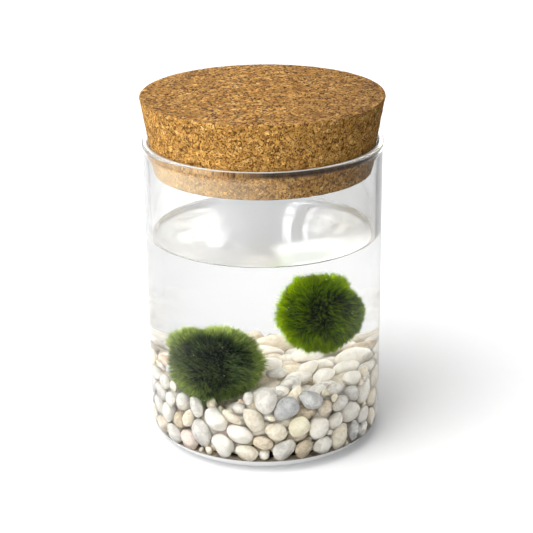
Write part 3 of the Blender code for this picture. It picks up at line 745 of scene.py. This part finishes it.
def moss(name, at, radii, lobes, mats, seed, threads, comb, greens_and_shade_fn, bubbles, spots, start):
    rng = np.random.default_rng(seed)
    at = np.array(at)
    k = np.arange(threads) + 0.5
    z = 1 - 2 * k / threads
    a = k * 2.399963229728653
    s = np.sqrt(1 - z * z)
    u = unit(np.stack([s * np.cos(a), s * np.sin(a), z], 1) + rng.normal(scale=0.012, size=(threads, 3)))
    # tufts: threads near one another lean together
    m = 2400
    kt = np.arange(m) + 0.5
    zt = 1 - 2 * kt / m
    st = np.sqrt(1 - zt * zt)
    ut = unit(np.stack([st * np.cos(kt * 2.399963), st * np.sin(kt * 2.399963), zt], 1) + rng.normal(scale=0.03, size=(m, 3)))
    near = np.empty(threads, int)
    for lo in range(0, threads, 4000):
        near[lo:lo + 4000] = np.argmax(u[lo:lo + 4000] @ ut.T, 1)
    lean_t = rng.normal(scale=0.17, size=(m, 3))
    size_t = rng.normal(0, 0.034, m)
    tone_t = rng.uniform(0, 1, m)
    reach = outline(u, radii, lobes)
    swirl = np.stack([noise3(u * 2.8 + 11, 3), noise3(u * 2.8 + 29, 4), noise3(u * 2.8 + 47, 5)], 1)
    swirl -= (swirl * u).sum(1)[:, None] * u
    lump = 0.03 * noise3(u * 3.1 + seed, 6) + 0.02 * noise3(u * 7.3 + seed, 7)
    fly = rng.uniform(size=threads) < 0.30
    length = np.clip(rng.normal(0.935, 0.030, threads) + lump + size_t[near], 0.70, 1.0) * reach
    length = np.where(fly, length + reach * rng.uniform(0.01, 0.085, threads), length)
    root = u * (reach * rng.uniform(0.62, 0.74, threads))[:, None]
    pull = (ut[near] - u) * 3.0
    aim = unit(u + 0.80 * swirl + pull + lean_t[near] + rng.normal(scale=0.09, size=(threads, 3)) + np.array(comb))
    tip = u * length[:, None]
    tip = tip + (aim - u * (aim * u).sum(1)[:, None]) * (length - 0.68 * reach)[:, None] * 0.75
    tip = unit(tip) * np.minimum(length, np.sqrt((tip ** 2).sum(1)))[:, None]
    bendv = unit(np.cross(u, rng.normal(size=(threads, 3)))) * rng.normal(scale=0.25, size=(threads, 1))
    ctrl = root + u * (length - 0.68 * reach)[:, None] * 0.55 + bendv
    pts = []
    for t in (0.0, 0.42, 0.75, 1.0):
        pts.append(root * (1 - t) ** 2 + ctrl * 2 * t * (1 - t) + tip * t * t)
    way = unit(tip - root)
    side = unit(np.cross(way, rng.normal(size=(threads, 3))))
    width = np.where(fly, rng.uniform(0.040, 0.065, threads), rng.uniform(0.060, 0.105, threads))
    V = np.empty((threads, 7, 3))
    for n, w in enumerate((1.0, 0.95, 0.6)):
        V[:, 2 * n] = pts[n] - side * (width * w)[:, None]
        V[:, 2 * n + 1] = pts[n] + side * (width * w)[:, None]
    V[:, 6] = pts[3]
    along = np.tile([0, 0, 0.42, 0.42, 0.75, 0.75, 1.0], (threads, 1))
    each = np.repeat(np.clip(0.5 + 0.22 * rng.normal(size=threads) + 0.55 * (tone_t[near] - 0.5), 0, 1)[:, None], 7, 1)
    greens_and_shade = np.repeat(greens_and_shade_fn(u)[:, None], 7, 1)
    base = (np.arange(threads) * 7)[:, None]
    quads = np.concatenate([base + [0, 1, 3, 2], base + [2, 3, 5, 4]])
    tris = base + [4, 5, 6]
    # the matted heart that the threads grow from
    d, f = sphere(4)
    heart = d * (outline(d, radii, lobes) * (0.80 + 0.03 * noise3(d * 5 + seed, 9)))[:, None]
    verts = np.vstack([V.reshape(-1, 3), heart]) + at
    far = np.hypot(verts[:, 0], verts[:, 1])
    hold = np.minimum(1, (BORE_R - 0.12) / np.maximum(far, 1))
    verts[:, :2] *= hold[:, None]
    n0 = threads * 7
    # gas bubbles held among the tips
    bd, bf = sphere(2)
    extra = rng.normal(size=(12, 3))
    b_dir = unit(np.vstack([[a * RIGHT + b * UP + math.sqrt(1 - a * a - b * b) * TOWARD for a, b in bubbles], extra]))
    b_at = b_dir * (outline(b_dir, radii, lobes) * 0.965)[:, None]
    b_r = rng.uniform(0.10, 0.19, len(b_dir))
    blobs = (b_at[:, None] + bd[None] * b_r[:, None, None] * np.array([1, 1, 0.9])).reshape(-1, 3) + at
    b_faces = (bf[None] + (np.arange(len(b_dir)) * len(bd))[:, None, None]).reshape(-1, 3) + n0 + len(heart)
    index = np.concatenate([np.zeros(len(quads) + len(tris) + len(f)), np.ones(len(b_faces))])
    ob = mesh_object(name, np.vstack([verts, blobs]), quads=quads, tris=np.vstack([tris, f + n0, b_faces]), mats=mats,
                     index=index, smooth=True)
    none = np.zeros(len(blobs))
    attribute(ob, "along", np.concatenate([along.ravel(), 0.12 + 0.1 * noise3(d * 9, 8), none]))
    attribute(ob, "each", np.concatenate([each.ravel(), 0.35 + 0.3 * noise3(d * 14, 2), none]))
    attribute(ob, "greens_and_shade", np.concatenate([greens_and_shade.ravel(), greens_and_shade_fn(d), none]))
    attribute(ob, "fly", np.concatenate([np.repeat(fly.astype(float), 7), np.zeros(len(d)), none]))
    # painted light on the threads near the outline
    attribute(ob, "painted_rim_light", np.concatenate([np.repeat(painted_rim_light_amount(u, spots, start), 7), 0.6 * painted_rim_light_amount(d, spots, start), none]))
    return ob


def rest_patch(u):
    low = u @ np.array([-0.45, -0.25, -0.86])
    return np.clip(0.85 + 0.4 * noise3(u * 2.0 + 5, 12) - 1.3 * np.maximum(0, low) - 0.5 * np.maximum(0, u @ RIGHT - 0.5), 0, 1)


def float_greens_and_shade(u):
    # painted shade: dark spots facing the front and on the right, over patches of two greens
    dark = np.exp(-((u @ np.array([0.10, -0.97, 0.22]) - 1) / 0.10) ** 2) + np.exp(-((u @ np.array([0.55, -0.66, 0.50]) - 1) / 0.06) ** 2)
    dark = dark + 0.9 * np.exp(-((u @ np.array([0.93, -0.36, -0.05]) - 1) / 0.22) ** 2)
    return np.clip(0.10 + 0.35 * noise3(u * 2.2 + 15, 13) + 0.65 * dark, 0, 1)


moss_a = moss_material("moss_threads_dark", (0.007, 0.013, 0.006), (0.032, 0.058, 0.014), (0.125, 0.195, 0.030), (0.018, 0.034, 0.021),
                       (0.13, 0.19, 0.055), (0.42, 0.55, 0.18), (0.20, 0.28, 0.055), (0.56, 0.70, 0.19), 0.08)
moss_b = moss_material("moss_threads_light", (0.010, 0.024, 0.001), (0.056, 0.108, 0.002), (0.15, 0.26, 0.004), (0.020, 0.036, 0.006),
                       (0.22, 0.38, 0.006), (0.50, 0.75, 0.015), (0.23, 0.38, 0.002), (0.50, 0.73, 0.006), 0.03)
gas = bubble_material()
THREADS = 37000
moss_rest = moss("moss_ball_resting_threads", REST_AT, REST_R, REST_LOBES, [moss_a, gas], 3, THREADS, (-0.22, 0, 0.20), rest_patch,
                 [(0.14, 0.34), (-0.53, 0.11), (-0.55, -0.47), (0.02, -0.10)],
                 [(128, 42, 1.0), (78, 38, 1.0, 0.62), (180, 30, 0.30), (-145, 33, 0.75), (-95, 30, 0.10), (0, 55, 0.5)], 0.74)
moss_float = moss("moss_ball_floating_threads", FLOAT_AT, FLOAT_R, FLOAT_LOBES, [moss_b, gas], 8, THREADS, (0.08, 0, -0.14), float_greens_and_shade,
                  [(-0.72, 0.11), (-0.68, 0.16), (0.10, 0.80), (0.42, -0.30)],
                  [(150, 60, 1.0), (85, 40, 0.75), (-150, 35, 0.5), (5, 40, 0.12)], 0.75)

# ---- cork -------------------------------------------------------------------
# painted shade: the top face's copy of the cork is tinted darker than the side's, and its granules are sized
# differently
cork_mat = [cork_material("pressed_cork", (1.09, 1.07, 1.15), 1.0, 0.30), cork_material("pressed_cork_face_shaded", (0.96, 0.90, 0.88), 0.62, 0.42)]
prof = []
for r in np.linspace(0, CORK_LOW_R - 0.5, 14):
    prof.append((r, CORK_LOW_Z, 0))
prof += [(r, z, 1) for r, z in arc(CORK_LOW_R - 0.5, CORK_LOW_Z + 0.5, 0.5, -70, 0, 3)]
top_r = CORK_TOP_R + 0.2
for z in np.linspace(CORK_LOW_Z + 1.0, CORK_TOP_Z - 1.0, 52):
    if z < JAR_H - 0.8:
        r = CORK_LOW_R + (BORE_R - 0.05 - CORK_LOW_R) * (z - CORK_LOW_Z) / (JAR_H - 0.8 - CORK_LOW_Z)
    else:
        r = BORE_R - 0.05 + (top_r - BORE_R + 0.05) * (z - JAR_H + 0.8) / (CORK_TOP_Z - JAR_H + 0.8)
    prof.append((r, z, 1))
prof += [(r, z, 1) for r, z in arc(top_r - 0.6, CORK_TOP_Z - 0.6, 0.6, 0, 80, 3)]
for r in np.linspace(top_r - 0.9, 0, 66):
    prof.append((r, CORK_TOP_Z, 2))
v, q, t = lathe_arrays([p[:2] for p in prof], 400)
n = unit(np.stack([v[:, 0], v[:, 1], np.zeros(len(v))], 1))
up_face = (v[:, 2] > CORK_TOP_Z - 0.01)
down_face = (v[:, 2] < CORK_LOW_Z + 0.01)
n[up_face] = (0, 0, 1)
n[down_face] = (0, 0, -1)
d1, d2, tag = cells3(v / 1.7, 20)
p1, p2, ptag = cells3(v / 2.3 + 31.7, 40)
pit = np.where(ptag < 0.16, np.clip((0.36 - p1) / 0.10, 0, 1), 0)
dent = 0.10 * np.clip(1 - (d2 - d1) / 0.22, 0, 1) + 0.10 * tag + 0.45 * pit
v = v - n * dent[:, None]
flat = np.concatenate([up_face[q].all(1), np.arange(len(t)) >= len(t) // 2]).astype(int)
cork = mesh_object("cork_pressed", v, quads=q, tris=t, mats=cork_mat, index=flat)
# painted shade of the rim: darker where the rim grips it, most at the front and on the right
band = np.clip(1 - np.abs(v[:, 2] - JAR_H + 1.5) / 1.2, 0, 1) ** 0.5
turn_to = np.clip((np.degrees(np.arctan2(v[:, 0], -v[:, 1])) + 28) / 30, 0, 1) * np.clip((22 - v[:, 1]) / 14, 0, 1)
# painted light: paler where it sits in the glass, most on the left, and lighter in the rim band at the left front;
# painted shade: the top darker to the right
under = np.clip((JAR_H - 2.6 - v[:, 2]) / 1.5, 0, 1) * np.clip(0.26 - 0.75 * v[:, 0] / CORK_LOW_R, 0, 1)
attribute(cork, "pale", np.where(v[:, 2] > CORK_TOP_Z - 0.5, 0.51 - 0.27 * np.clip(v[:, 0] / CORK_TOP_R + 0.15, 0, 1),
                                 0.5 + 0.5 * under * (1 - band) + 0.25 * band * (1 - turn_to) * (v[:, 1] < 0) - 0.5 * band * turn_to))
# the pit attribute holds the cork's pits and also the painted shade of the rim
attribute(cork, "pit", np.maximum(pit * 0.9, 1.05 * band * turn_to * (0.9 + 0.2 * noise3(v / 1.5, 60))))

# ---- floor and light --------------------------------------------------------
BEHIND, DEEP = 0.4, 1.4     # extra light on things behind glass, and on things under water
EDGE, AIR, WET = (0.69, 0.22), (0.555, 0.33), (0.192, 0.180)     # the floor seen through the wall's edge, the air, the water
m, nt, p = new_material("pale_floor")
co = nt.nodes.new("ShaderNodeTexCoord").outputs["Object"]
sep = nt.nodes.new("ShaderNodeSeparateXYZ")
nt.links.new(co, sep.inputs[0])
# painted pool of light: the floor's colour is brightest round the jar and behind it, falling off softly to the sides
# and the front
side = maths(nt, "SUBTRACT", maths(nt, "ABSOLUTE", sep.outputs[0]), maths(nt, "MULTIPLY_ADD", sep.outputs[1], 0.21, 0.125))
front = maths(nt, "MULTIPLY_ADD", sep.outputs[1], -1.0, -0.125)
away = maths(nt, "MAXIMUM", side, front)
painted_falloff = node(nt, "ShaderNodeMapRange", interpolation_type="SMOOTHSTEP")
painted_falloff.inputs["From Min"].default_value, painted_falloff.inputs["From Max"].default_value = 0.0, 0.10
nt.links.new(away, painted_falloff.inputs["Value"])
n1 = texture(nt, "ShaderNodeTexNoise", 40.0, co, Detail=3.0)
pale = ramp(nt, [(0.3, (0.925, 0.925, 0.925)), (0.7, (0.935, 0.935, 0.935))], n1.outputs[0])
pale = blend(nt, "MIX", painted_falloff.outputs[0], pale, (0.42, 0.42, 0.42))
# painted contact shadow: a little darker close to the foot
flat = nt.nodes.new("ShaderNodeCombineXYZ")
nt.links.new(sep.outputs[0], flat.inputs[0])
nt.links.new(sep.outputs[1], flat.inputs[1])
far = node(nt, "ShaderNodeVectorMath", operation="LENGTH")
nt.links.new(flat.outputs[0], far.inputs[0])
painted_contact_shadow = ramp(nt, [(a / 60, (b, b, b)) for a, b in ((38.4, 0.80), (39.2, 0.86), (40.2, 0.93), (41.5, 0.97), (43.5, 1.0))],
                 maths(nt, "MULTIPLY", far.outputs["Value"], 1 / 0.060))
pale = blend(nt, "MULTIPLY", 1.0, pale, painted_contact_shadow)
# what the jar shows of it isn't brightened by the light that is only for the jar's contents
path = nt.nodes.new("ShaderNodeLightPath").outputs
seen = path["Transmission Depth"]
shade_to_right = maths(nt, "MINIMUM", maths(nt, "MAXIMUM", maths(nt, "MULTIPLY", sep.outputs[0], 28.0), 0.0), 1.0)
# painted shade: in the wall's mirror and through the glass it is shown darker than it is, most on the right
share = maths(nt, "MULTIPLY_ADD", maths(nt, "MULTIPLY", maths(nt, "MULTIPLY_ADD", shade_to_right, 0.15, 0.12),
                                         maths(nt, "GREATER_THAN", path["Glossy Depth"], 0.5)), -1.0, 1.0)
for least, (left_part, right_part) in ((1.5, EDGE), (3.5, AIR), (4.5, WET)):
    past = maths(nt, "GREATER_THAN", seen, least)
    value = maths(nt, "MULTIPLY_ADD", shade_to_right, right_part - left_part, left_part)
    share = maths(nt, "ADD", maths(nt, "MULTIPLY", share, maths(nt, "SUBTRACT", 1.0, past)), maths(nt, "MULTIPLY", past, value))
comb = nt.nodes.new("ShaderNodeCombineColor")
for k in range(3):
    nt.links.new(share, comb.inputs[k])
nt.links.new(blend(nt, "MULTIPLY", 1.0, pale, comb.outputs[0]), p.inputs["Base Color"])
p.inputs["Roughness"].default_value = 0.8
p.inputs["Specular IOR Level"].default_value = 0.1
floor = mesh_object("floor", np.array([[-4000, -4000, -0.12], [4000, -4000, -0.12], [4000, 4000, -0.12], [-4000, 4000, -0.12]]),
                    quads=np.array([[0, 1, 2, 3]]), mats=[m], smooth=False)

world = bpy.data.worlds.new("studio")
scene.world = world
world.use_nodes = True
nt = world.node_tree
bg = nt.nodes["Background"]
co = nt.nodes.new("ShaderNodeTexCoord").outputs["Generated"]


def toward(direction):
    dot = node(nt, "ShaderNodeVectorMath", operation="DOT_PRODUCT")
    nt.links.new(co, dot.inputs[0])
    dot.inputs[1].default_value = Vector(direction)
    return dot.outputs["Value"]


def lobe(direction, inner, outer, power):
    r = node(nt, "ShaderNodeMapRange", interpolation_type="SMOOTHSTEP")
    r.inputs["From Min"].default_value = math.cos(math.radians(outer))
    r.inputs["From Max"].default_value = math.cos(math.radians(inner))
    r.inputs["To Min"].default_value = 0.0
    r.inputs["To Max"].default_value = power
    nt.links.new(toward(Vector(direction).normalized()), r.inputs["Value"])
    return r.outputs[0]


# soft key from the upper left, a weak one overhead, and a fill that falls off to the right
fill = maths(nt, "MAXIMUM", maths(nt, "MULTIPLY_ADD", toward((-0.98, -0.44, 0.0)), 1.13, 0.32), 0.0)
soft = maths(nt, "ADD", lobe((-0.48, -0.465, 0.743), 8, 39, 4.15), fill)
soft = maths(nt, "ADD", lobe((0.0, 0.1, 1.0), 10, 45, 0.58), soft)
soft = maths(nt, "ADD", lobe((0.0, -0.2, -1.0), 40, 88, 0.55), soft)    # thrown back by the floor
# more of it reaches the things under water, as if the jar had a lamp of its own
path = nt.nodes.new("ShaderNodeLightPath")
deep = maths(nt, "GREATER_THAN", path.outputs["Transmission Depth"], 4.5)
behind = maths(nt, "GREATER_THAN", path.outputs["Transmission Depth"], 3.5)
inside = maths(nt, "ADD", lobe((0.40, 0.60, 0.70), 15, 55, 2.75), 0.52)
soft = maths(nt, "MULTIPLY_ADD", inside, deep, soft)
soft = maths(nt, "MULTIPLY_ADD", fill, maths(nt, "MULTIPLY", maths(nt, "SUBTRACT", behind, deep), 1.5), soft)
soft = maths(nt, "MULTIPLY", soft, maths(nt, "MULTIPLY_ADD", deep, DEEP, maths(nt, "MULTIPLY_ADD", behind, BEHIND, 1.0)))
# the pale room that glass and water mirror
part = nt.nodes.new("ShaderNodeSeparateXYZ")
nt.links.new(co, part.inputs[0])
across = maths(nt, "DIVIDE", part.outputs[0], maths(nt, "MAXIMUM", part.outputs[1], 0.3))
window = [(-98, 1.0), (-92, 0.85), (-87, 1.0), (-80, 1.1), (-73, 1.15), (-67, 1.05), (-61, 0.8), (-51, 0.37), (-40, 0.28), (-26, 0.12),
          (-11, 0.0), (25, 0.0), (27, 1.0), (37.5, 1.0), (40.5, 0.05), (53.5, 0.05), (55.5, 0.85), (60, 0.85), (63, 0.5), (68, 0.55),
          (75, 0.85), (81, 0.65), (87, 0.9), (92, 0.75)]


def between(value, start, end):
    r = node(nt, "ShaderNodeMapRange", interpolation_type="SMOOTHSTEP")
    r.inputs["From Min"].default_value, r.inputs["From Max"].default_value = start, end
    nt.links.new(value, r.inputs["Value"])
    return r.outputs[0]


panes = ramp(nt, [(0.5 + a / 360, (b, b, b)) for a, b in window], maths(nt, "MULTIPLY_ADD", across, 4.32, 0.5))
streaks = texture(nt, "ShaderNodeTexNoise", 55.0, co, Detail=3.0, Roughness=0.6, Distortion=1.0)
panes = maths(nt, "MULTIPLY", panes, ramp(nt, [(0.38, (0.42, 0.42, 0.42)), (0.52, (0.95, 0.95, 0.95)), (0.68, (1.2, 1.2, 1.2))], streaks.outputs[0]))
panes = maths(nt, "MULTIPLY", panes, between(part.outputs[2], 0.46, 0.42))
panes = maths(nt, "MULTIPLY", panes, maths(nt, "MULTIPLY_ADD", between(part.outputs[2], 0.305, 0.332), 0.35, 0.65))
ground = maths(nt, "MULTIPLY", between(across, 0.002, 0.018), maths(nt, "MULTIPLY", between(part.outputs[2], 0.334, 0.324), 1.15))
ground = maths(nt, "MAXIMUM", ground, maths(nt, "MULTIPLY", between(part.outputs[2], 0.310, 0.296), 0.26))
panes = maths(nt, "MAXIMUM", panes, ground)
panes = maths(nt, "MULTIPLY_ADD", between(part.outputs[2], 0.46, 0.42), -0.13, panes)
panes = maths(nt, "MULTIPLY", panes, maths(nt, "MULTIPLY", between(part.outputs[2], 0.02, 0.06), maths(nt, "GREATER_THAN", part.outputs[1], 0.8)))
room = maths(nt, "MULTIPLY_ADD", panes, 4.1, maths(nt, "MULTIPLY_ADD", toward((-0.12, 0, 0)), 1.0, 0.92))
lit = maths(nt, "GREATER_THAN", path.outputs["Diffuse Depth"], 0.5)
total = maths(nt, "ADD", maths(nt, "MULTIPLY", lit, soft), maths(nt, "MULTIPLY", maths(nt, "SUBTRACT", 1.0, lit), room))
comb = nt.nodes.new("ShaderNodeCombineColor")
for k in range(3):
    nt.links.new(total, comb.inputs[k])
nt.links.new(comb.outputs[0], bg.inputs["Color"])
bg.inputs["Strength"].default_value = 1.0
floor.visible_diffuse = False

scene.view_settings.view_transform = "Standard"
scene.view_settings.look = "None"
scene.view_settings.exposure = 0.0
scene.cycles.max_bounces = 64
scene.cycles.transmission_bounces = 48
scene.cycles.glossy_bounces = 48
scene.cycles.diffuse_bounces = 5
scene.cycles.transparent_max_bounces = 16
scene.cycles.caustics_refractive = True
scene.cycles.caustics_reflective = True
scene.cycles.use_denoising = True
scene.cycles.sample_clamp_indirect = 12.0

# ---- riding on the body -----------------------------------------------------
for ob, cad, slot in ((jar, "glass_jar", "glass"), (water, "water", "water"), (bed, "pebble_bed", "pebble"),
                      (moss_rest, "moss_ball_resting", "moss_dark"), (moss_float, "moss_ball_floating", "moss_light"),
                      (cork, "cork_stopper", "cork")):
    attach(ob, "root")
    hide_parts(cad)

print("all triangles", sum(sum(len(f.vertices) - 2 for f in o.data.polygons) for o in (jar, water, bed, moss_rest, moss_float, cork)) + LOOSE * 5120)
print("each", [(o.name, sum(len(f.vertices) - 2 for f in o.data.polygons)) for o in (jar, water, bed, moss_rest, moss_float, cork)])
